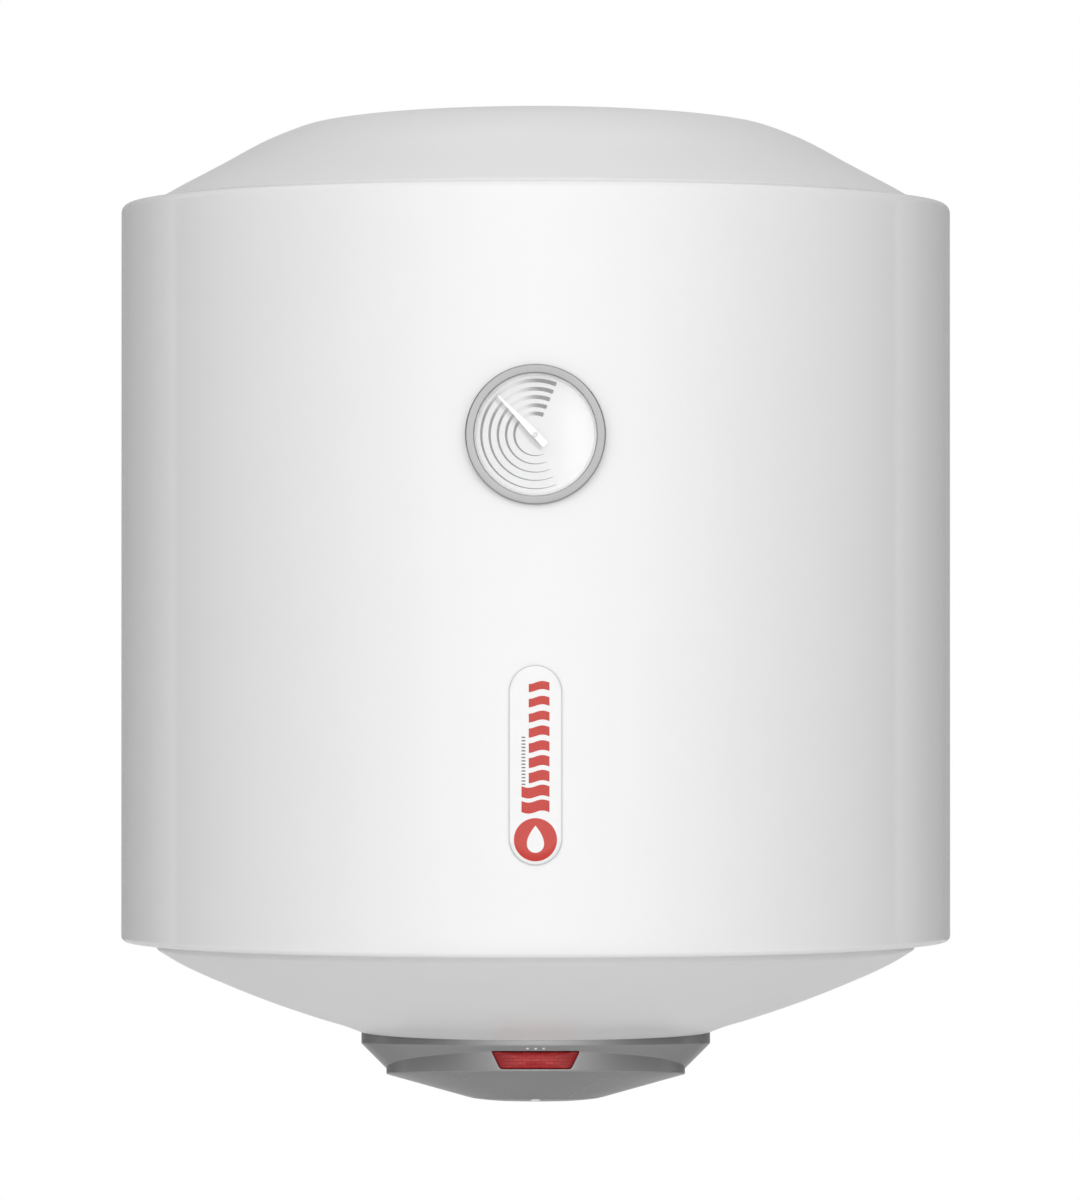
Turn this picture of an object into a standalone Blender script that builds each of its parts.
"""Wall-hung electric tank water heater as separate solids. Metres, +Z up, front towards -Y.

The origin is the centre of the wall bracket's back face, so the wall is the plane y = 0. The
tank stands upright in a round steel jacket, with a plastic cover over each end and a control
cover under the bottom one. Depths are measured down from the jacket's bottom edge.
"""

import math

import bmesh
import bpy
from mathutils import Matrix, Vector

# Whole heater
GAP = 0.0003
SKIN_SEGMENTS = 40
COVER_SEGMENTS = 48
CORE_SEGMENTS = 24
JACKET_R = 0.2225
JACKET_HEIGHT = 0.395
JACKET_TOP = 0.095
JACKET_BOTTOM = JACKET_TOP - JACKET_HEIGHT
JACKET_SHEET = 0.0006
JACKET_FILLET = 0.0045
JACKET_LIP_R = 0.214
WALL_STANDOFF = 0.014
AXIS_Y = -(WALL_STANDOFF + JACKET_R)
FRONT_Y = AXIS_Y - JACKET_R
PLASTIC_WALL = 0.0025

# End covers
COVER_RING_R = 0.2137
TOP_DOME_R = 0.203
TOP_DOME_RISE = 0.0506
TOP_CROWN_R = 0.095
TOP_CROWN_RISE = 0.0466
TOP_SHOULDER_R = 0.135
TOP_SHOULDER_RISE = 0.0382
BOTTOM_DOME_R = 0.2035
BOTTOM_DOME_WALL = 0.004
BOTTOM_DOME_DEPTH = 0.0479
BOTTOM_RING_R = 0.0945
BOTTOM_OPENING_R = 0.064

# Tank
TANK_R = 0.198
TANK_WALL = 0.002
TANK_TOP = 0.070
TANK_BOTTOM = -0.275
HEAD_DEPTH = 0.052
FOAM_R = 0.2205
PIPE_SPREAD = 0.050
PIPE_BACK = 0.100
PIPE_R = 0.0103
PIPE_BORE_R = 0.0075
PIPE_END = JACKET_BOTTOM - 0.076

# Heating flange
NECK_R = 0.046
NECK_BORE_R = 0.042
FLANGE_R = 0.060
FLANGE_BOLTS = 5
FLANGE_BOLT_CIRCLE_R = 0.0515
NECK_FACE = -0.342
GASKET_THICKNESS = 0.0025
PLATE_THICKNESS = 0.003
PLATE_TOP = NECK_FACE - GASKET_THICKNESS - 2 * GAP
PLATE_BOTTOM = PLATE_TOP - PLATE_THICKNESS
ELEMENT_LEG_X = 0.030
ELEMENT_LEG_Y = -0.004
ELEMENT_R = 0.004
PROBE_Y = -0.014
ANODE_Y = 0.022

# Control cover, which leans so that its front edge is higher
COVER_LEAN = math.radians(2.2)
COVER_PIVOT_DEPTH = 0.052
COVER_R = 0.0937
COVER_WALL_DEPTH = 0.0554
BELT_R = 0.080
BELT_FORWARD = 0.0116
CHIN_EDGE_R = 0.0794
CHIN_EDGE_DEPTH = 0.0721
CHIN_SLOPE = math.radians(15.6)
KNOB_R = 0.036
KNOB_RIM_DEPTH = 0.0842
KNOB_CENTRE_DEPTH = 0.0866
KNOB_THICKNESS = 0.0035
LENS_DEPTH = 0.0629
LENS_TOP_WIDTH = 0.0464
LENS_BOTTOM_WIDTH = 0.0368
LENS_HEIGHT = 0.0094
SCREW_X = 0.062
SCREW_BACK = 0.030
POST_DEPTH = 0.0582
POST_HEIGHT = 0.0253
GLAND_R = 0.0075

# Gauge and badge
GAUGE_Z = JACKET_BOTTOM + 0.2657
BEZEL_R = 0.0357
BEZEL_BORE_R = 0.0317
POINTER_ANGLE = math.radians(133.9)
POINTER_TIP = 0.0274
POINTER_TAIL = 0.0073
POINTER_WIDTH = 0.0034
BADGE_Z = JACKET_BOTTOM + 0.098
BADGE_WIDTH = 0.0269
BADGE_HEIGHT = 0.1014
BADGE_THICKNESS = 0.0009

# Wall brackets
BRACKET_SHEET = 0.0025
BRACKET_HALF_WIDTH = 0.0875
BRACKET_HALF_HEIGHT = 0.020
SLOT_X = 0.060
SLOT_WIDTH = 0.010
SLOT_HEIGHT = 0.024
STANDOFF_Z = -0.255
STANDOFF_HALF_WIDTH = 0.040
STANDOFF_HALF_HEIGHT = 0.012

for old in list(bpy.data.objects):
    bpy.data.objects.remove(old)

PARTS = bpy.data.collections.new("tank_water_heater")
CUTTERS = bpy.data.collections.new("cutters")
bpy.context.scene.collection.children.link(PARTS)
bpy.context.scene.collection.children.link(CUTTERS)


def material(name, color, roughness, metallic=0.0, alpha=1.0):
    """A Principled material; a name already made is used again."""
    if name in bpy.data.materials:
        return bpy.data.materials[name]
    made = bpy.data.materials.new(name)
    made.use_nodes = True
    shader = made.node_tree.nodes["Principled BSDF"]
    shader.inputs["Base Color"].default_value = (*color, 1.0)
    shader.inputs["Roughness"].default_value = roughness
    shader.inputs["Metallic"].default_value = metallic
    shader.inputs["Alpha"].default_value = alpha
    return made


def white_enamel():
    return material("white_enamel", (0.87, 0.87, 0.87), 0.25)


def cover_plastic():
    return material("cover_plastic", (0.62, 0.62, 0.62), 0.45)


def control_plastic():
    return material("control_plastic", (0.23, 0.23, 0.235), 0.4)


def tank_steel():
    return material("tank_steel", (0.12, 0.17, 0.24), 0.4)


def plated_steel():
    return material("plated_steel", (0.62, 0.62, 0.6), 0.35, 1.0)


def polymer_foam():
    return material("polymer_foam", (0.85, 0.74, 0.45), 0.9)


def black_plastic():
    return material("black_plastic", (0.03, 0.03, 0.03), 0.45)


def cream_plastic():
    return material("cream_plastic", (0.78, 0.74, 0.64), 0.5)


def copper():
    return material("copper", (0.75, 0.38, 0.24), 0.3, 1.0)


def link(obj, surface):
    """Puts an object among the parts, or among the cutters when it has no material."""
    if surface is None:
        CUTTERS.objects.link(obj)
        obj.hide_render = True
        obj.display_type = "WIRE"
        return obj
    PARTS.objects.link(obj)
    obj.data.materials.append(surface)
    return obj


def smooth(mesh):
    mesh.shade_smooth()
    mesh.set_sharp_from_angle(angle=math.radians(35))


def facing_front():
    """Turns a piece's own Z axis to the front, -Y, and keeps X across."""
    return Matrix.Rotation(math.radians(90), 4, "X")


def turned(name, profile, surface, segments=CORE_SEGMENTS, closed=True, wall=0.0, place=None):
    """A turned piece: profile points (radius, height) run down the outer side, top first.

    A closed profile is a ring section; one that starts and ends on the axis is left open.
    """
    mesh = bpy.data.meshes.new(name)
    count = len(profile)
    edges = [(i, i + 1) for i in range(count - 1)]
    if closed:
        edges.append((count - 1, 0))
    mesh.from_pydata([(r, 0.0, z) for r, z in profile], edges, [])
    obj = link(bpy.data.objects.new(name, mesh), surface)
    screw = obj.modifiers.new("turn", "SCREW")
    screw.steps = segments
    screw.render_steps = segments
    screw.use_merge_vertices = True
    screw.merge_threshold = 0.00001
    if wall:
        shell = obj.modifiers.new("wall", "SOLIDIFY")
        shell.thickness = wall
        shell.offset = -1.0
        shell.use_even_offset = True
    obj.matrix_world = place or Matrix.Translation((0.0, AXIS_Y, 0.0))
    return obj


def ring(name, outer, inner, top, bottom, surface, segments=CORE_SEGMENTS, place=None):
    """A straight tube or a thick washer."""
    section = [(outer, top), (outer, bottom), (inner, bottom), (inner, top)]
    return turned(name, section, surface, segments, place=place)


def rod(name, radius, start, end, surface, sides=16, end_radius=None):
    """A round bar or a cone between two points."""
    mesh = bpy.data.meshes.new(name)
    shape = bmesh.new()
    along = Vector(end) - Vector(start)
    last = radius if end_radius is None else end_radius
    bmesh.ops.create_cone(
        shape, cap_ends=True, segments=sides, radius1=radius, radius2=last, depth=along.length
    )
    shape.to_mesh(mesh)
    shape.free()
    smooth(mesh)
    obj = link(bpy.data.objects.new(name, mesh), surface)
    turn = along.to_track_quat("Z", "Y").to_matrix().to_4x4()
    obj.matrix_world = Matrix.Translation((Vector(start) + Vector(end)) / 2) @ turn
    return obj


def box(name, low, high, surface, bevel=0.0):
    """A box between two corners, with its size in the mesh."""
    mesh = bpy.data.meshes.new(name)
    shape = bmesh.new()
    size = Vector(high) - Vector(low)
    bmesh.ops.create_cube(shape, size=1.0)
    bmesh.ops.scale(shape, vec=size, verts=shape.verts)
    shape.to_mesh(mesh)
    shape.free()
    obj = link(bpy.data.objects.new(name, mesh), surface)
    obj.location = (Vector(low) + Vector(high)) / 2
    if bevel:
        edge = obj.modifiers.new("edges", "BEVEL")
        edge.width = bevel
        edge.segments = 1
    return obj


def to_mesh(obj, surface):
    """Turns a curve object into a mesh object with its caps welded on."""
    bpy.context.view_layer.update()
    seen = obj.evaluated_get(bpy.context.evaluated_depsgraph_get())
    mesh = bpy.data.meshes.new_from_object(seen)
    name = obj.name
    place = obj.matrix_world.copy()
    bpy.data.objects.remove(obj)
    shape = bmesh.new()
    shape.from_mesh(mesh)
    bmesh.ops.remove_doubles(shape, verts=shape.verts, dist=0.000001)
    shape.to_mesh(mesh)
    shape.free()
    mesh.name = name
    mesh.materials.clear()
    made = link(bpy.data.objects.new(name, mesh), surface)
    made.matrix_world = place
    return made


def plate(name, outline, thickness, surface, place):
    """A flat outline made a slab of the given thickness, centred on its plane."""
    curve = bpy.data.curves.new(name, "CURVE")
    curve.dimensions = "2D"
    curve.fill_mode = "BOTH"
    curve.extrude = thickness / 2
    line = curve.splines.new("POLY")
    line.points.add(len(outline) - 1)
    for point, (x, y) in zip(line.points, outline):
        point.co = (x, y, 0.0, 1.0)
    line.use_cyclic_u = True
    obj = link(bpy.data.objects.new(name, curve), surface)
    obj.matrix_world = place
    return to_mesh(obj, surface)


def wire(name, points, radius, surface):
    """A round wire or bent tube along a list of points."""
    curve = bpy.data.curves.new(name, "CURVE")
    curve.dimensions = "3D"
    curve.bevel_depth = radius
    curve.bevel_resolution = 2
    curve.use_fill_caps = True
    line = curve.splines.new("POLY")
    line.points.add(len(points) - 1)
    for point, place in zip(line.points, points):
        point.co = (*place, 1.0)
    return link(bpy.data.objects.new(name, curve), surface)


def cut(target, cutter, operation="DIFFERENCE"):
    change = target.modifiers.new(cutter.name, "BOOLEAN")
    change.operation = operation
    change.object = cutter
    return target


def arc(centre, radius, start, end, steps):
    """Points on an arc, with angles in degrees from the first axis."""
    points = []
    for i in range(steps + 1):
        angle = math.radians(start + (end - start) * i / steps)
        points.append((centre[0] + radius * math.cos(angle), centre[1] + radius * math.sin(angle)))
    return points


def smooth_path(stations, steps):
    """Points read from a Catmull-Rom curve through the stations."""
    ends = [stations[0], *stations, stations[-1]]
    points = []
    for i in range(1, len(ends) - 2):
        a, b, c, d = (Vector(p) for p in ends[i - 1 : i + 3])
        for k in range(steps):
            t = k / steps
            bend = (c - a) * t + (2 * a - 5 * b + 4 * c - d) * t**2 + (3 * b - a - 3 * c + d) * t**3
            points.append(b + bend / 2)
    points.append(Vector(stations[-1]))
    return points


def on_axis(x, y, z):
    """A point given from the tank's axis, in world coordinates."""
    return (x, AXIS_Y + y, z)


# The jacket and its end covers


def outer_jacket():
    """White steel cylinder with both rims rolled inwards, open for the gauge and the brackets."""
    mid = JACKET_R - JACKET_FILLET
    profile = [(JACKET_LIP_R, JACKET_TOP)]
    profile += arc((mid, JACKET_TOP - JACKET_FILLET), JACKET_FILLET, 90, 0, 3)
    profile += arc((mid, JACKET_BOTTOM + JACKET_FILLET), JACKET_FILLET, 0, -90, 3)
    profile += [(JACKET_LIP_R, JACKET_BOTTOM)]
    obj = turned(
        "outer_jacket", profile, white_enamel(), SKIN_SEGMENTS, closed=False, wall=JACKET_SHEET
    )
    cut(obj, gauge_hole("jacket_gauge_hole", 0.0335, 0.010))
    for cutter in leg_holes():
        cut(obj, cutter)


def gauge_hole(name, radius, depth):
    """Cutter for a round hole in the front, as deep as given."""
    return rod(name, radius, (0, FRONT_Y - 0.01, GAUGE_Z), (0, FRONT_Y + depth, GAUGE_Z), None, 40)


def leg_holes():
    """Cutters for the bracket legs where they pass the jacket and the insulation."""
    if "bracket_leg_1" in bpy.data.objects:
        return [bpy.data.objects[f"bracket_leg_{i}"] for i in range(1, 5)]
    made = []
    room = 0.0005
    for half_width, half_height, z in (
        (BRACKET_HALF_WIDTH, BRACKET_HALF_HEIGHT, 0.0),
        (STANDOFF_HALF_WIDTH, STANDOFF_HALF_HEIGHT, STANDOFF_Z),
    ):
        for side in (-1, 1):
            x = side * (half_width - BRACKET_SHEET / 2)
            low = (x - BRACKET_SHEET / 2 - room, -0.070, z - half_height - room)
            high = (x + BRACKET_SHEET / 2 + room, -0.006, z + half_height + room)
            made.append(box(f"bracket_leg_{len(made) + 1}", low, high, None))
    return made


def top_dome():
    """The top cover's height above the jacket at each radius: crown, shoulder, skirt."""
    return [
        (0.0, TOP_DOME_RISE),
        (0.050, 0.0493),
        (TOP_CROWN_R, TOP_CROWN_RISE),
        (0.118, 0.0438),
        (TOP_SHOULDER_R, TOP_SHOULDER_RISE),
        (0.150, 0.0315),
        (0.190, 0.0091),
        (TOP_DOME_R, 0.0),
    ]


def top_cover():
    """Light grey plastic dome that closes the jacket's top."""
    profile = [(r, JACKET_TOP + rise) for r, rise in top_dome()]
    profile.append((COVER_RING_R, JACKET_TOP))
    turned("top_cover", profile, cover_plastic(), SKIN_SEGMENTS, closed=False, wall=PLASTIC_WALL)


def bottom_dome():
    """The bottom cover's depth at each radius, from the jacket in to the control cover."""
    return [
        (BOTTOM_DOME_R, 0.0),
        (BOTTOM_DOME_R, BOTTOM_DOME_WALL),
        (0.2022, 0.0056),
        (0.1892, 0.0136),
        (0.1698, 0.0225),
        (0.144, 0.0327),
        (0.1182, 0.0415),
        (BOTTOM_RING_R, BOTTOM_DOME_DEPTH),
    ]


def below_dome():
    """Cutter: everything above the bottom cover's underside, less the usual gap."""
    if "below_dome" in bpy.data.objects:
        return bpy.data.objects["below_dome"]
    profile = [(0.0, JACKET_BOTTOM + 0.020), (BOTTOM_DOME_R, JACKET_BOTTOM + 0.020)]
    profile += [(r, JACKET_BOTTOM - depth - GAP) for r, depth in bottom_dome()]
    profile.append((0.0, JACKET_BOTTOM - BOTTOM_DOME_DEPTH - GAP))
    return turned("below_dome", profile, None, SKIN_SEGMENTS, closed=False)


def bottom_cover():
    """Light grey plastic dome under the jacket, with two posts for the control cover's screws."""
    profile = [(COVER_RING_R, JACKET_BOTTOM)]
    profile += [(r, JACKET_BOTTOM - depth) for r, depth in bottom_dome()]
    profile.append((BOTTOM_OPENING_R, JACKET_BOTTOM - BOTTOM_DOME_DEPTH))
    obj = turned(
        "bottom_cover", profile, cover_plastic(), SKIN_SEGMENTS, closed=False, wall=PLASTIC_WALL
    )
    for x in (-SCREW_X, SCREW_X):
        post = rod(f"post_{x:+.4f}", 0.0046, (0, 0, 0), (0, 0, POST_HEIGHT), None, 16)
        post.matrix_world = cover_frame() @ Matrix.Translation((x, SCREW_BACK, below(POST_DEPTH)))
        cut(obj, post, "UNION")
    for x in (-SCREW_X, SCREW_X):
        bore = rod(f"post_bore_{x:+.4f}", 0.0021, (0, 0, 0), (0, 0, 0.040), None, 12)
        bore.matrix_world = cover_frame() @ Matrix.Translation((x, SCREW_BACK, below(0.0760)))
        cut(obj, bore)
    for x in (-PIPE_SPREAD, PIPE_SPREAD):
        cut(obj, pipe_hole(f"cover_pipe_hole_{x:+.3f}", x, 0.0112, -0.36, -0.32))


def pipe_hole(name, x, radius, bottom, top):
    """Cutter for an upright hole round one of the two water pipes."""
    return rod(name, radius, on_axis(x, PIPE_BACK, bottom), on_axis(x, PIPE_BACK, top), None, 24)


# The control cover and what it carries


def cover_frame():
    """The control cover's own frame: it leans about the cross axis, below the tank's axis."""
    height = JACKET_BOTTOM - COVER_PIVOT_DEPTH
    return Matrix.Translation((0, AXIS_Y, height)) @ Matrix.Rotation(-COVER_LEAN, 4, "X")


def below(depth):
    """A depth under the jacket as a height in the control cover's frame."""
    return COVER_PIVOT_DEPTH - depth


def chin_depth(radius):
    """Depth of the conical underside at a radius."""
    return CHIN_EDGE_DEPTH + (CHIN_EDGE_R - radius) * math.tan(CHIN_SLOPE)


def cover_envelope(name, inset, surface):
    """The control cover's outer form, or with an inset the hollow inside it.

    A round wall runs into a 45 degree cone, a belt stands forward of the cone, and a shallow
    cone closes the underside.
    """
    top = below(0.040 - inset)
    radius = COVER_R - inset
    edge = COVER_WALL_DEPTH - inset * (math.sqrt(2) - 1)
    cone_end = 0.050
    cone_foot = below(edge + radius - cone_end)
    profile = [(0, top), (radius, top), (radius, below(edge)), (cone_end, cone_foot), (0, cone_foot)]
    body = turned(name, profile, surface, COVER_SEGMENTS, closed=False, place=cover_frame())
    belt = rod(name + "_belt", BELT_R - inset, (0, 0, below(0.099)), (0, 0, below(0.0515)), None, 64)
    belt.matrix_world = cover_frame() @ Matrix.Translation((0, -BELT_FORWARD, below(0.07525)))
    cut(body, belt, "UNION")
    rise = inset / math.cos(CHIN_SLOPE)
    wide = 0.120
    narrow = KNOB_R - 0.006
    chin = [(0, below(0.010)), (wide, below(0.010))]
    chin += [(r, below(chin_depth(r) - rise)) for r in (wide, narrow)]
    chin.append((0, below(chin_depth(narrow) - rise)))
    cut(
        body,
        turned(name + "_chin", chin, None, COVER_SEGMENTS, closed=False, place=cover_frame()),
        "INTERSECT",
    )
    return body


def lens_outline(grow):
    """The red window's outline, wider at the top, with rounded corners, grown all round."""
    half_top = LENS_TOP_WIDTH / 2 + grow
    half_bottom = LENS_BOTTOM_WIDTH / 2 + grow
    half_height = LENS_HEIGHT / 2 + grow
    round_r = 0.0012
    points = arc((half_top - round_r, half_height - round_r), round_r, 90, -27, 3)
    points += arc((half_bottom - 0.6 * round_r, round_r - half_height), round_r, -27, -90, 3)
    return points + [(-x, y) for x, y in reversed(points)]


def lens_place(forward):
    """The window's middle on the front of the belt, facing front."""
    centre = Matrix.Translation((0, -BELT_FORWARD - forward, below(LENS_DEPTH)))
    return cover_frame() @ centre @ facing_front()


def control_cover():
    """Mid grey plastic shell round the controls, open at the top, for the knob and the window."""
    obj = cover_envelope("control_cover", 0.0, control_plastic())
    cut(obj, cover_envelope("control_cavity", PLASTIC_WALL, None))
    cut(obj, below_dome())
    hole = rod("knob_hole", KNOB_R + 0.0005, (0, 0, 0), (0, 0, 0.02), None, COVER_SEGMENTS)
    hole.matrix_world = cover_frame() @ Matrix.Translation((0, 0, below(KNOB_RIM_DEPTH)))
    cut(obj, hole)
    cut(obj, plate("window", lens_outline(GAP), 0.012, None, lens_place(BELT_R)))
    for x in (-SCREW_X, SCREW_X):
        shank = rod(f"shank_hole_{x:+.4f}", 0.0021, (0, 0, 0), (0, 0, 0.02), None, 12)
        shank.matrix_world = cover_frame() @ Matrix.Translation((x, SCREW_BACK, below(0.076)))
        cut(obj, shank)
        recess = rod(f"head_recess_{x:+.4f}", 0.0043, (0, 0, 0), (0, 0, 0.01), None, 20)
        recess.matrix_world = cover_frame() @ Matrix.Translation((x, SCREW_BACK, below(0.0789)))
        cut(obj, recess)
    hole = rod("gland_hole", GLAND_R + GAP, (0, 0, 0), (0, 0, 0.02), None, 20)
    hole.matrix_world = gland_place()
    cut(obj, hole)
    return obj


def indicator_lens():
    """Red window that follows the belt's curve and fills its opening."""
    obj = plate("indicator_lens", lens_outline(0.0), 0.012, lens_red(), lens_place(BELT_R))
    top = below(0.050)
    bottom = below(0.070)
    shell = ring("lens_shell", BELT_R - 0.0002, BELT_R - 0.0030, top, bottom, None, 64)
    shell.matrix_world = cover_frame() @ Matrix.Translation((0, -BELT_FORWARD, 0))
    cut(obj, shell, "INTERSECT")


def lens_red():
    return material("lens_red", (0.42, 0.02, 0.025), 0.25)


def temperature_knob():
    """Domed disc in the underside that turns the thermostat, with a boss for the spindle."""
    face = below(KNOB_CENTRE_DEPTH)
    rim = below(KNOB_RIM_DEPTH)
    back = rim + KNOB_THICKNESS
    profile = [(0, back), (KNOB_R, back), (KNOB_R, rim), (0.0321, below(0.0850))]
    profile += [(0.0213, below(0.0861)), (0, face)]
    obj = turned(
        "temperature_knob", profile, control_plastic(), 40, closed=False, place=cover_frame()
    )
    boss = rod("knob_boss", 0.0060, (0, 0, 0), (0, 0, 0.0085), None, 20)
    boss.matrix_world = cover_frame() @ Matrix.Translation((0, 0, back + 0.00325))
    cut(obj, boss, "UNION")
    dent = rod("index_dent", 0.0030, (0, 0, 0), (0, 0, 0.0030), None, 20)
    dent.matrix_world = index_place()
    cut(obj, dent)
    bore = rod("knob_bore", 0.0033, (0, 0, 0), (0, 0, 0.0080), None, 16)
    bore.matrix_world = cover_frame() @ Matrix.Translation((0, 0, back + 0.0045))
    cut(obj, bore)


def index_place():
    """The index dot's place: near the knob's rim at the front, square to the domed face."""
    tilt = Matrix.Rotation(math.radians(-8), 4, "X")
    return cover_frame() @ Matrix.Translation((0, -0.0318, below(0.0846))) @ tilt


def knob_index():
    """White index dot let into the knob's face."""
    obj = rod("knob_index", 0.0027, (0, 0, 0), (0, 0, 0.0014), white_enamel(), 20)
    obj.matrix_world = index_place()


def thermostat():
    """Rod thermostat under the flange: body, probe, spindle and the reset button."""
    low = on_axis(-0.020, -0.028, PLATE_BOTTOM - 0.0235)
    high = on_axis(0.020, 0.016, PLATE_BOTTOM - GAP)
    body = box("thermostat_body", low, high, cream_plastic(), bevel=0.001)
    bore = rod("spindle_bore", 0.0040, (0, 0, 0), (0, 0, 0.010), None, 20)
    bore.matrix_world = cover_frame() @ Matrix.Translation((0, 0, below(0.0705)))
    cut(body, bore)
    button = on_axis(-0.013, -0.021, 0)
    reach = low[2] + 0.0055
    hole = rod("reset_hole", 0.0028, (button[0], button[1], low[2] - 0.01), (*button[:2], reach), None)
    cut(body, hole)
    push_low = (button[0], button[1], low[2] - 0.0025)
    rod("reset_button", 0.0024, push_low, (*button[:2], reach - 0.0024), lens_red())
    top = -0.140
    probe_low = on_axis(0, PROBE_Y, PLATE_BOTTOM + 0.0005)
    rod("thermostat_probe", 0.0031, probe_low, on_axis(0, PROBE_Y, top - 0.004), copper(), 12)
    spindle = rod("thermostat_spindle", 0.0029, (0, 0, 0), (0, 0, 0.0110), plated_steel(), 16)
    spindle.matrix_world = cover_frame() @ Matrix.Translation((0, 0, below(0.0720)))


def terminal_block():
    """Screw terminals for the supply, under the bottom cover's ring."""
    top = JACKET_BOTTOM - BOTTOM_DOME_DEPTH - GAP
    low = on_axis(-0.062, 0.047, top - 0.0110)
    obj = box("terminal_block", low, on_axis(-0.038, 0.061, top), cream_plastic(), bevel=0.0008)
    for i in range(3):
        x = -0.058 + 0.008 * i
        mouth = on_axis(x, 0.054, -0.37)
        well = rod(f"terminal_well_{i + 1}", 0.0024, mouth, on_axis(x, 0.054, -0.357), None, 12)
        cut(obj, well)


def lamp_board():
    """Small upright board with the two lamps that light the red window."""
    top = JACKET_BOTTOM - BOTTOM_DOME_DEPTH - GAP
    low = on_axis(-0.018, -0.0806, top - 0.0170)
    board = material("board_green", (0.03, 0.16, 0.07), 0.5)
    box("lamp_board", low, on_axis(0.018, -0.0790, top), board)
    lamp = material("lamp_glass", (0.75, 0.3, 0.1), 0.15)
    for side, x in (("left", -0.008), ("right", 0.008)):
        z = top - 0.0118
        start = on_axis(x, -0.0809, z)
        rod(f"indicator_lamp_{side}", 0.0021, start, on_axis(x, -0.0858, z), lamp, 12)


def leads():
    """The internal leads: supply block to thermostat twice, and thermostat to the lamp board."""
    for name, color, block_x, body_y, z in (
        ("live_lead", (0.20, 0.09, 0.04), -0.0580, 0.008, -0.3530),
        ("neutral_lead", (0.03, 0.12, 0.45), -0.0500, -0.006, -0.3590),
    ):
        stations = [
            on_axis(block_x, 0.0460, z),
            on_axis(block_x + 0.003, 0.036, z - 0.0015),
            on_axis(-0.047, body_y + 0.012, z - 0.0065),
            on_axis(-0.031, body_y + 0.003, z - 0.0090),
            on_axis(-0.0206, body_y, z - 0.0090),
        ]
        insulated = material(name, color, 0.5)
        wire(name, smooth_path(stations, 4), 0.0012, insulated)
    stations = [
        on_axis(0.012, -0.0284, -0.3580),
        on_axis(0.013, -0.045, -0.3600),
        on_axis(0.013, -0.066, -0.3575),
        on_axis(0.012, -0.0786, -0.3560),
    ]
    wire("lamp_lead", smooth_path(stations, 4), 0.0010, material("lamp_lead", (0.6, 0.6, 0.6), 0.5))


def gland_place():
    """The cable gland's frame: on the back of the 45 degree cone, its Z axis pointing outwards."""
    radius = COVER_R - 0.0070
    centre = Matrix.Translation((0, radius, below(COVER_WALL_DEPTH + 0.0070)))
    return cover_frame() @ centre @ Matrix.Rotation(math.radians(-135), 4, "X")


def cable_gland():
    """Cable gland in the back of the control cover, with its lock nut inside. No cord is fitted."""
    profile = [(0.0072, 0.0100), (0.0095, 0.0080), (0.0095, 0.0004)]
    profile += [(GLAND_R, 0.0004), (GLAND_R, -0.0085), (0.0045, -0.0085), (0.0045, 0.0100)]
    turned("cable_gland", profile, black_plastic(), 20, place=gland_place())
    nut = rod("gland_nut", 0.0096, (0, 0, 0), (0, 0, 0.0034), black_plastic(), 6)
    nut.matrix_world = gland_place() @ Matrix.Translation((0, 0, -0.0049))
    bore = rod("gland_nut_bore", GLAND_R + GAP, (0, 0, 0), (0, 0, 0.010), None, 20)
    bore.matrix_world = nut.matrix_world
    cut(nut, bore)


def cover_screws():
    """Two pan head screws that hold the control cover to the posts of the bottom cover."""
    for side, x in (("left", -SCREW_X), ("right", SCREW_X)):
        profile = [(0, 0.0120), (0.0017, 0.0120), (0.0017, 0.0018), (0.0038, 0.0018)]
        profile += [(0.0038, 0.0006), (0.0030, 0.0), (0, 0)]
        place = cover_frame() @ Matrix.Translation((x, SCREW_BACK, below(0.0760)))
        turned(f"cover_screw_{side}", profile, plated_steel(), 12, closed=False, place=place)


# The tank and its heating flange


def dish(radius, depth, base, hole=0.0, steps=5):
    """Outer points of a domed head from its edge to its hole or its crown."""
    reach = math.degrees(math.acos(hole / radius))
    points = []
    for i in range(steps + 1):
        angle = math.radians(reach * i / steps)
        points.append((radius * math.cos(angle), base + depth * math.sin(angle)))
    if not hole:
        points[-1] = (0.0, base + depth)
    return points


def tank():
    """Enamelled steel tank: a shell and two domed heads, the lower one holed for its fittings."""
    top = TANK_TOP - GAP
    bottom = TANK_BOTTOM + GAP
    inner = TANK_R - TANK_WALL
    ring("tank_shell", TANK_R, inner, top, bottom, tank_steel())
    outside = dish(TANK_R, HEAD_DEPTH, TANK_TOP)
    inside = dish(inner, HEAD_DEPTH - TANK_WALL, TANK_TOP)
    turned("tank_top_head", [*reversed(outside), *inside], tank_steel(), closed=False)
    outside = dish(TANK_R, -HEAD_DEPTH, TANK_BOTTOM, NECK_R + GAP)
    inside = dish(inner, TANK_WALL - HEAD_DEPTH, TANK_BOTTOM, NECK_R + GAP)
    head = turned("tank_bottom_head", [*outside, *reversed(inside)], tank_steel())
    for x in (-PIPE_SPREAD, PIPE_SPREAD):
        cut(head, pipe_hole(f"head_pipe_hole_{x:+.3f}", x, PIPE_R + 0.0004, -0.34, -0.28))


def bolt_places():
    """Centres of the flange bolts, from the tank's axis."""
    for i in range(FLANGE_BOLTS):
        angle = math.radians(90 + 360 * i / FLANGE_BOLTS)
        yield FLANGE_BOLT_CIRCLE_R * math.cos(angle), FLANGE_BOLT_CIRCLE_R * math.sin(angle)


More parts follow.
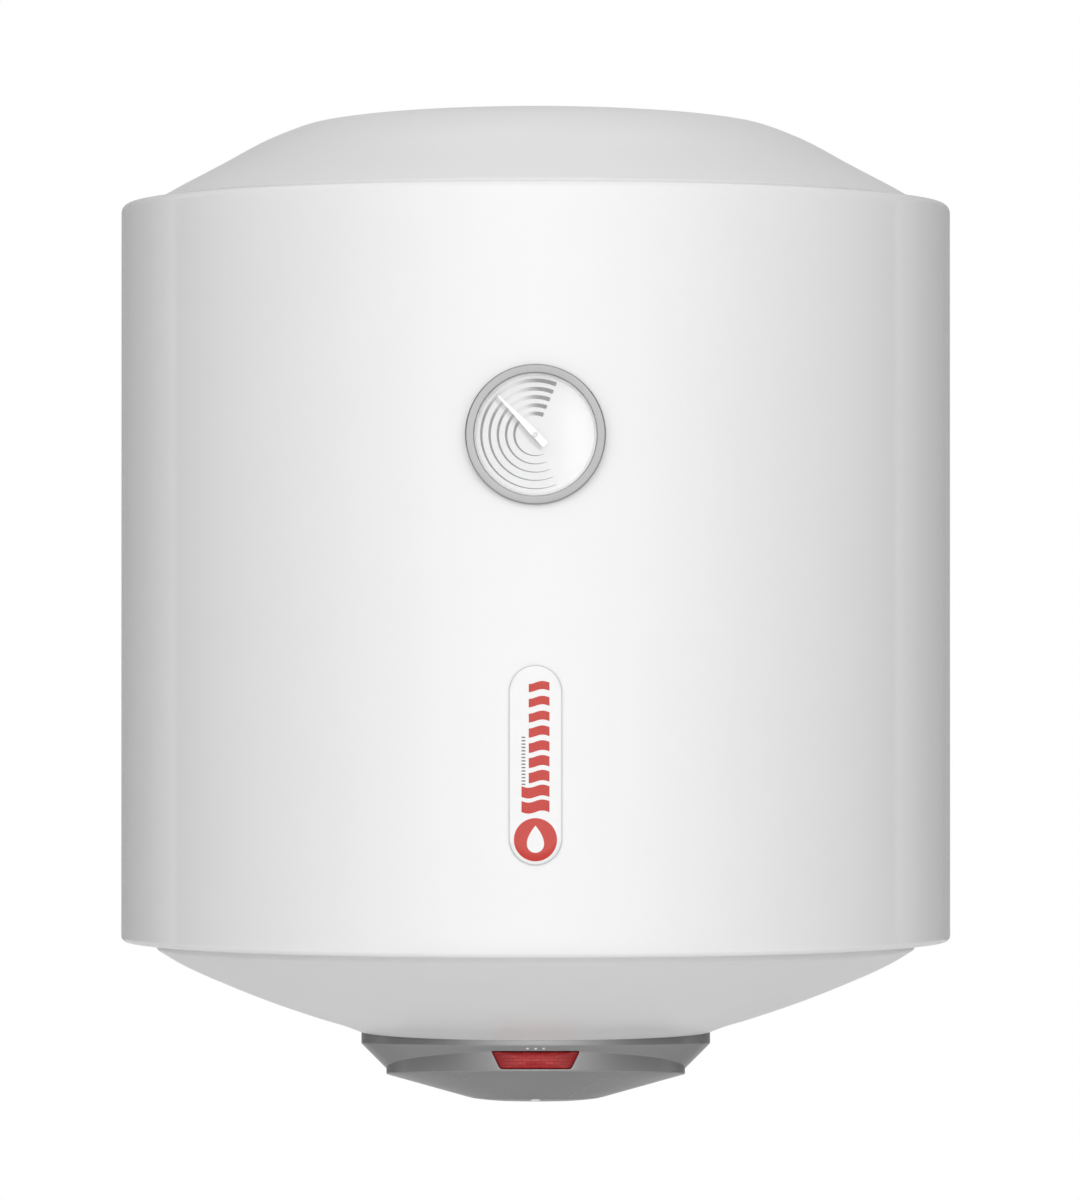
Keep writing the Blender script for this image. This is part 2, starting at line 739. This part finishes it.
def flange_fittings():
    """Neck, gasket and plate of the heating flange, with bolts up through all three."""
    neck_top = TANK_BOTTOM - HEAD_DEPTH + 0.0055
    neck = [(NECK_R, neck_top), (NECK_R, -0.338), (FLANGE_R, -0.338), (FLANGE_R, NECK_FACE)]
    neck += [(NECK_BORE_R, NECK_FACE), (NECK_BORE_R, neck_top)]
    pieces = [turned("flange_neck", neck, tank_steel())]
    top = NECK_FACE - GAP
    rubber = material("gasket_rubber", (0.02, 0.02, 0.02), 0.7)
    pieces.append(
        ring("flange_gasket", FLANGE_R, NECK_BORE_R, top, top - GASKET_THICKNESS, rubber)
    )
    steel = plated_steel()
    plate_low = on_axis(0, 0, PLATE_BOTTOM)
    element_flange = rod("element_flange", FLANGE_R, plate_low, on_axis(0, 0, PLATE_TOP), steel, 32)
    pieces.append(element_flange)
    for i, (x, y) in enumerate(bolt_places(), start=1):
        cutter = rod(f"bolt_hole_{i}", 0.0033, on_axis(x, y, -0.36), on_axis(x, y, -0.33), None, 12)
        for piece in pieces:
            cut(piece, cutter)
        flange_bolt(i, x, y)
    for label, x, y, radius in (
        ("left_leg", -ELEMENT_LEG_X, ELEMENT_LEG_Y, ELEMENT_R + GAP),
        ("right_leg", ELEMENT_LEG_X, ELEMENT_LEG_Y, ELEMENT_R + GAP),
        ("probe", 0.0, PROBE_Y, 0.0053),
        ("anode", 0.0, ANODE_Y, 0.0028),
    ):
        low = on_axis(x, y, -0.36)
        cut(element_flange, rod(f"{label}_hole", radius, low, on_axis(x, y, -0.33), None, 16))


def flange_bolt(number, x, y):
    """One hexagon bolt, head down."""
    head = PLATE_BOTTOM - GAP
    low = on_axis(x, y, head - 0.005)
    bolt = rod(f"flange_bolt_{number}", 0.0058, low, on_axis(x, y, head), plated_steel(), 6)
    low = on_axis(x, y, head - 0.001)
    cut(bolt, rod(f"bolt_shank_{number}", 0.0029, low, on_axis(x, y, -0.334), None, 12), "UNION")


def heating_element():
    """Hairpin heating tube; its ends come down through the flange plate."""
    bottom = PLATE_BOTTOM - 0.009
    bend_z = -0.110
    legs = arc((0.0, bend_z), ELEMENT_LEG_X, 180, 0, 10)
    heights = [bottom, -0.335, -0.28, -0.20]
    points = [on_axis(-ELEMENT_LEG_X, ELEMENT_LEG_Y, z) for z in heights]
    points += [on_axis(x, ELEMENT_LEG_Y, z) for x, z in legs]
    points += [on_axis(ELEMENT_LEG_X, ELEMENT_LEG_Y, z) for z in reversed(heights)]
    wire("heating_element", points, ELEMENT_R, copper())


def thermowell():
    """Blind tube that keeps the water off the thermostat's probe."""
    top = -0.140
    profile = [(0, top), (0.0050, top), (0.0050, PLATE_BOTTOM), (0.0037, PLATE_BOTTOM)]
    profile += [(0.0037, top - 0.002), (0, top - 0.002)]
    place = Matrix.Translation((0, AXIS_Y + PROBE_Y, 0))
    turned("thermowell", profile, copper(), 16, closed=False, place=place)


def anode():
    """Magnesium anode on a stud through the flange plate."""
    magnesium = material("magnesium", (0.55, 0.55, 0.54), 0.6, 1.0)
    bottom = -0.318
    rod("anode_rod", 0.0105, on_axis(0, ANODE_Y, bottom), on_axis(0, ANODE_Y, -0.130), magnesium, 20)
    low = on_axis(0, ANODE_Y, -0.3545)
    stud = rod("anode_stud", 0.0025, low, on_axis(0, ANODE_Y, bottom - GAP), plated_steel(), 12)
    head = PLATE_BOTTOM - GAP
    nut = rod("anode_nut", 0.0045, on_axis(0, ANODE_Y, head - 0.004), on_axis(0, ANODE_Y, head), None, 6)
    cut(stud, nut, "UNION")


def water_pipes():
    """Hot outlet from the top of the tank and cold inlet with its diffuser, both half inch."""
    for name, side, top in (("hot_outlet", -1, 0.100), ("cold_inlet", 1, -0.292)):
        place = Matrix.Translation(on_axis(side * PIPE_SPREAD, PIPE_BACK, 0))
        chamfer = PIPE_R - 0.0010
        section = [(PIPE_R, top), (PIPE_R, PIPE_END + 0.001), (chamfer, PIPE_END)]
        section += [(PIPE_BORE_R, PIPE_END), (PIPE_BORE_R, top)]
        turned(f"{name}_pipe", section, plated_steel(), 24, place=place)
    low = JACKET_BOTTOM - 0.0505
    high = low + 0.016
    for name, side, color in (
        ("hot_outlet_ring", -1, (0.55, 0.02, 0.02)),
        ("cold_inlet_ring", 1, (0.02, 0.08, 0.5)),
    ):
        place = Matrix.Translation(on_axis(side * PIPE_SPREAD, PIPE_BACK, 0))
        rubber = material(name, color, 0.4)
        collar = ring(name, 0.0150, PIPE_R + GAP, high, low, rubber, CORE_SEGMENTS, place)
        cut(collar, below_dome())
    place = Matrix.Translation(on_axis(PIPE_SPREAD, PIPE_BACK, 0))
    cap = [(0, -0.280), (0.0128, -0.280), (0.0128, -0.305)]
    cap += [(0.0107, -0.305), (0.0107, -0.282), (0, -0.282)]
    diffuser = turned("inlet_diffuser", cap, cream_plastic(), 24, closed=False, place=place)
    for i in range(2):
        reach = Vector((0.02, 0.003, 0.004))
        slot = box(f"diffuser_slot_{i + 1}", -reach, reach, None)
        turn = Matrix.Rotation(math.radians(45 + 90 * i), 4, "Z")
        slot.matrix_world = Matrix.Translation(on_axis(PIPE_SPREAD, PIPE_BACK, -0.2870)) @ turn
        cut(diffuser, slot)


def insulation():
    """Foam between the tank and the jacket: a side sleeve and one piece over each head."""
    foam = polymer_foam()
    inner = TANK_R + 0.0006
    side = ring("insulation_side", FOAM_R, inner, TANK_TOP - GAP, TANK_BOTTOM + GAP, foam)
    cut(side, gauge_hole("foam_gauge_hole", 0.0345, 0.0225))
    low = (-0.006, FRONT_Y - 0.005, -0.158)
    cut(side, box("bulb_channel", low, (0.006, FRONT_Y + 0.030, GAUGE_Z), None))
    for cutter in leg_holes():
        cut(side, cutter)
    clear = 0.0005
    rim = JACKET_TOP - 0.0035
    top = [(r, JACKET_TOP + rise - 0.0050) for r, rise in top_dome()[:-1]]
    top += [(0.1985, rim), (0.2150, rim), (FOAM_R, rim - 0.005), (FOAM_R, TANK_TOP + GAP)]
    top += [(r, z + clear) for r, z in dish(inner, HEAD_DEPTH, TANK_TOP)]
    turned("insulation_top", top, foam, closed=False)
    rim = JACKET_BOTTOM + 0.0035
    lower = [(FOAM_R, TANK_BOTTOM - GAP), (FOAM_R, rim + 0.005), (0.2150, rim), (0.1990, rim)]
    lower += [(r - 0.004, JACKET_BOTTOM - depth + 0.0050) for r, depth in bottom_dome()[3:]]
    lower += [(0.0640, JACKET_BOTTOM - BOTTOM_DOME_DEPTH + 0.0050)]
    inside = dish(inner, -HEAD_DEPTH, TANK_BOTTOM, 0.0640)
    lower += [(r, z - clear) for r, z in reversed(inside)]
    under = turned("insulation_bottom", lower, foam)
    for x in (-PIPE_SPREAD, PIPE_SPREAD):
        cut(under, pipe_hole(f"foam_pipe_hole_{x:+.3f}", x, 0.0157, -0.36, -0.28))


# The gauge, the badge and the brackets


def gauge_frame(y):
    """Frame on the gauge's axis at the given depth, its Z axis to the front."""
    return Matrix.Translation((0, y, GAUGE_Z)) @ facing_front()


def jacket_form(name, radius):
    """Cutter with the jacket's own facets, at the given radius."""
    profile = [(0, 0.06), (radius, 0.06), (radius, -0.29), (0, -0.29)]
    return turned(name, profile, None, SKIN_SEGMENTS, closed=False)


def gauge():
    """Capillary thermometer let into the jacket: case, bezel, glass, dial, coil and bulb."""
    grey = material("bezel_grey", (0.45, 0.45, 0.46), 0.35)
    front = 0.0032
    section = [(BEZEL_BORE_R, front - 0.0007), (0.0325, front), (0.0349, front)]
    section += [(BEZEL_R, front - 0.0012), (BEZEL_R, -0.004), (BEZEL_BORE_R, -0.004)]
    bezel = turned("gauge_bezel", section, grey, 40, place=gauge_frame(FRONT_Y))
    cut(bezel, jacket_form("bezel_back", JACKET_R + GAP))
    case = [(0, -0.0175), (0.0315, -0.0175), (0.0315, -0.0030)]
    case += [(0.0330, -0.0030), (0.0330, -0.0190), (0, -0.0190)]
    place = gauge_frame(FRONT_Y)
    housing = turned("gauge_housing", case, black_plastic(), 32, closed=False, place=place)
    tail = GAUGE_Z - 0.022
    behind = (0, FRONT_Y + 0.03, tail)
    cut(housing, rod("capillary_hole", 0.0022, behind, (0, FRONT_Y + 0.01, tail), None, 12))
    clear = material("gauge_glass", (0.95, 0.97, 0.97), 0.03, alpha=0.2)
    back = (0, FRONT_Y - 0.0007, GAUGE_Z)
    rod("gauge_lens", 0.0314, back, (0, FRONT_Y - 0.0022, GAUGE_Z), clear, 40)
    low = (0, FRONT_Y + 0.0042, GAUGE_Z)
    dial = rod("gauge_dial", 0.0312, low, (0, FRONT_Y + 0.0034, GAUGE_Z), white_enamel(), 40)
    cut(dial, rod("dial_hole", 0.0014, (0, FRONT_Y, GAUGE_Z), (0, FRONT_Y + 0.01, GAUGE_Z), None, 12))
    gauge_movement(tail)


def gauge_movement(tail):
    """Pointer and spindle, with the coil, capillary and bulb that drive them."""
    half = POINTER_WIDTH / 2
    tip = 0.0003
    outline = [(-POINTER_TAIL, -half), (0.0030, -half), (POINTER_TIP, -tip)]
    outline += [(x, -y) for x, y in reversed(outline)]
    turn = Matrix.Rotation(POINTER_ANGLE, 4, "Z")
    place = gauge_frame(FRONT_Y + 0.0014) @ turn
    pointer = plate("gauge_pointer", outline, 0.0008, white_enamel(), place)
    behind = (0, FRONT_Y + 0.003, GAUGE_Z)
    cut(pointer, rod("pointer_hole", 0.0012, (0, FRONT_Y, GAUGE_Z), behind, None, 12))
    profile = [(0, -0.0002), (0.0015, -0.0002), (0.0015, -0.0007)]
    profile += [(0.0009, -0.0007), (0.0009, -0.0140), (0, -0.0140)]
    turned("gauge_spindle", profile, plated_steel(), 12, closed=False, place=gauge_frame(FRONT_Y))
    turns = 2.25
    coil = []
    for i in range(28):
        share = i / 27
        angle = 2 * math.pi * turns * share
        radius = 0.0040 + 0.0170 * share
        coil.append((radius * math.cos(angle), FRONT_Y + 0.0110, GAUGE_Z - radius * math.sin(angle)))
    wire("gauge_coil", coil, 0.0008, copper())
    deep = FRONT_Y + 0.0218
    stations = [
        (0, FRONT_Y + 0.0125, tail),
        (0, FRONT_Y + 0.0190, tail),
        (0, deep - 0.0005, tail - 0.006),
        (0, deep, tail - 0.020),
        (0, deep, -0.0947),
    ]
    wire("gauge_capillary", smooth_path(stations, 4), 0.0008, copper())
    rod("gauge_bulb", 0.0022, (0, deep, -0.150), (0, deep, -0.095), copper(), 12)


def badge_plate():
    """Upright badge with round ends that follows the jacket's curve."""
    radius = BADGE_WIDTH / 2
    straight = BADGE_HEIGHT / 2 - radius
    outline = arc((0, straight), radius, 0, 180, 10) + arc((0, -straight), radius, 180, 360, 10)
    place = Matrix.Translation((0, FRONT_Y, BADGE_Z)) @ facing_front()
    obj = plate("badge_plate", outline, 0.012, white_enamel(), place)
    inner = JACKET_R + GAP
    shell = ring("badge_shell", inner + BADGE_THICKNESS, inner, -0.10, -0.29, None, SKIN_SEGMENTS)
    cut(obj, shell, "INTERSECT")


def u_bracket(name, half_width, half_height, z, slots):
    """Steel strip against the wall, its ends bent back through the jacket to the tank."""
    inner = half_width - BRACKET_SHEET
    tank_y = AXIS_Y + math.sqrt(TANK_R**2 - inner**2)
    end = tank_y + 0.0009
    outline = [(-half_width, 0), (-half_width, end), (-inner, end), (-inner, -BRACKET_SHEET)]
    outline += [(-x, y) for x, y in reversed(outline)]
    place = Matrix.Translation((0, 0, z))
    obj = plate(name, outline, 2 * half_height, plated_steel(), place)
    for x in slots:
        low = (x - SLOT_WIDTH / 2, -0.010, z - SLOT_HEIGHT / 2)
        high = (x + SLOT_WIDTH / 2, 0.010, z + SLOT_HEIGHT / 2)
        cut(obj, box(f"{name}_slot_{x:+.3f}", low, high, None))


outer_jacket()
top_cover()
bottom_cover()
control_cover()
indicator_lens()
temperature_knob()
knob_index()
thermostat()
terminal_block()
lamp_board()
leads()
cable_gland()
cover_screws()
tank()
flange_fittings()
heating_element()
thermowell()
anode()
water_pipes()
insulation()
gauge()
badge_plate()
u_bracket("wall_bracket", BRACKET_HALF_WIDTH, BRACKET_HALF_HEIGHT, 0.0, (-SLOT_X, SLOT_X))
u_bracket("lower_standoff", STANDOFF_HALF_WIDTH, STANDOFF_HALF_HEIGHT, STANDOFF_Z, ())
